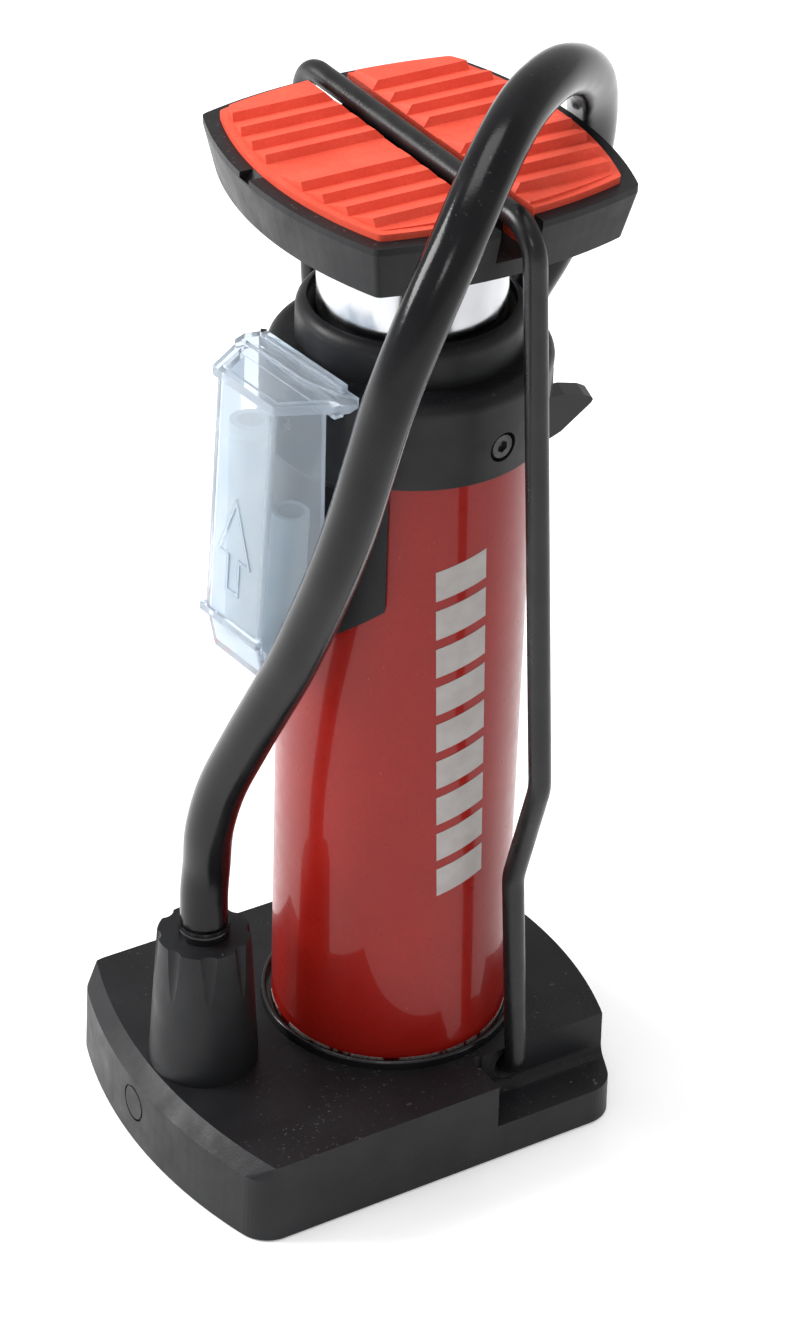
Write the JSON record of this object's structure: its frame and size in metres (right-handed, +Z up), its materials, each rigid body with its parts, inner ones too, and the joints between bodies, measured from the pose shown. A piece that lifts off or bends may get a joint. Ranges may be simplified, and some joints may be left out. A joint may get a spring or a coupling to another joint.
{
  "type": "foot air pump",
  "caption": "Compact foot air pump: painted barrel on a moulded base, ribbed rubber pedal locked by a wire bail, hose with a lever head, clear adapter case.",
  "frame": {"origin": "barrel axis at floor level, under the base's central rubber foot", "axes": "+Z up along the barrel; +X from the hose knob's end of the base to the end the bail folds over; +Y away from the viewer's side"},
  "size_m": [0.1121, 0.1, 0.2449],
  "materials": {
    "black_plastic": "fine matt grain, lightly dusty",
    "black_plastic_smooth": "smooth satin",
    "black_gloss": "semi-gloss",
    "black_rubber": "matt",
    "hose_rubber": "smooth, semi-gloss",
    "red_paint": "deep gloss paint over aluminium",
    "red_rubber": "soft matt",
    "polished_tube": "polished with fine drawn lines",
    "steel": "zinc-plated",
    "dark_steel": "blackened",
    "brass": "turned",
    "pale_plastic": "low-friction, satin",
    "black_coat": "satin black coating",
    "clear_plastic": "clear moulded plastic, lightly scuffed",
    "pale_green_plastic": "satin"
  },
  "bodies": {
    "base": {"base_body": "black_plastic", "base_plate": "black_plastic_smooth", "rubber_feet": "black_rubber", "base_screws": "steel", "barrel": "red_paint", "foot_ring": "black_gloss", "barrel_plug": "black_plastic_smooth", "plug_oring": "black_rubber", "ball_spring": "steel", "hose_barb": "brass", "hose_knob": "black_plastic", "hose_ferrule": "black_gloss", "hose": "hose_rubber", "collar": "black_plastic", "collar_cap": "black_plastic", "wiper_seal": "black_rubber", "collar_screws": "dark_steel", "guide_bush": "pale_plastic", "return_spring": "steel", "bail_bushes": "black_plastic_smooth", "case_bracket": "black_plastic", "bracket_screws": "steel", "head_clip": "black_plastic", "head_clip_screw": "steel", "head_body": "black_plastic", "head_cap": "black_plastic", "head_washer": "black_rubber", "head_plunger": "brass", "lever_pin": "steel", "head_ferrule": "black_plastic"},
    "plunger": {"plunger_tube": "polished_tube", "piston": "black_plastic_smooth", "piston_cup": "black_rubber", "tube_insert": "black_plastic_smooth", "pedal_body": "black_plastic", "pedal_pad_a": "red_rubber", "pedal_pad_b": "red_rubber", "pedal_screw": "steel"},
    "bail": {"bail_wire": "black_coat"},
    "case": {"case_cover": "clear_plastic", "tube_adapter": "pale_green_plastic", "cone_adapter": "pale_green_plastic"},
    "lever": {"head_lever": "black_gloss"},
    "ball": {"check_ball": "steel"}
  },
  "joints": [
    {"name": "pedal_slide", "type": "slide", "parent": "base", "child": "plunger", "axis": [0, 0, 1], "range_m": [-0.018, 0], "stiffness_N_per_m": 300, "springref_m": 0.12, "deforming": ["return_spring"]},
    {"name": "bail_swing", "type": "hinge", "parent": "base", "child": "bail", "pos_m": [0.0128, 0, 0.0145], "axis": [0, 1, 0], "range_deg": [0, 97]},
    {"name": "case_slide", "type": "slide", "parent": "base", "child": "case", "axis": [0, 0, 1], "range_m": [0, 0.007]},
    {"name": "lever_swing", "type": "hinge", "parent": "base", "child": "lever", "pos_m": [0.03833, 0.01497, 0.1425], "axis": [-0.2756, -0.9613, 0], "range_deg": [0, 60]},
    {"name": "check_ball_lift", "type": "slide", "parent": "base", "child": "ball", "axis": [0, 0, -1], "range_m": [0, 0.0008], "stiffness_N_per_m": 50, "springref_m": -0.004, "deforming": ["ball_spring"]}
  ]
}
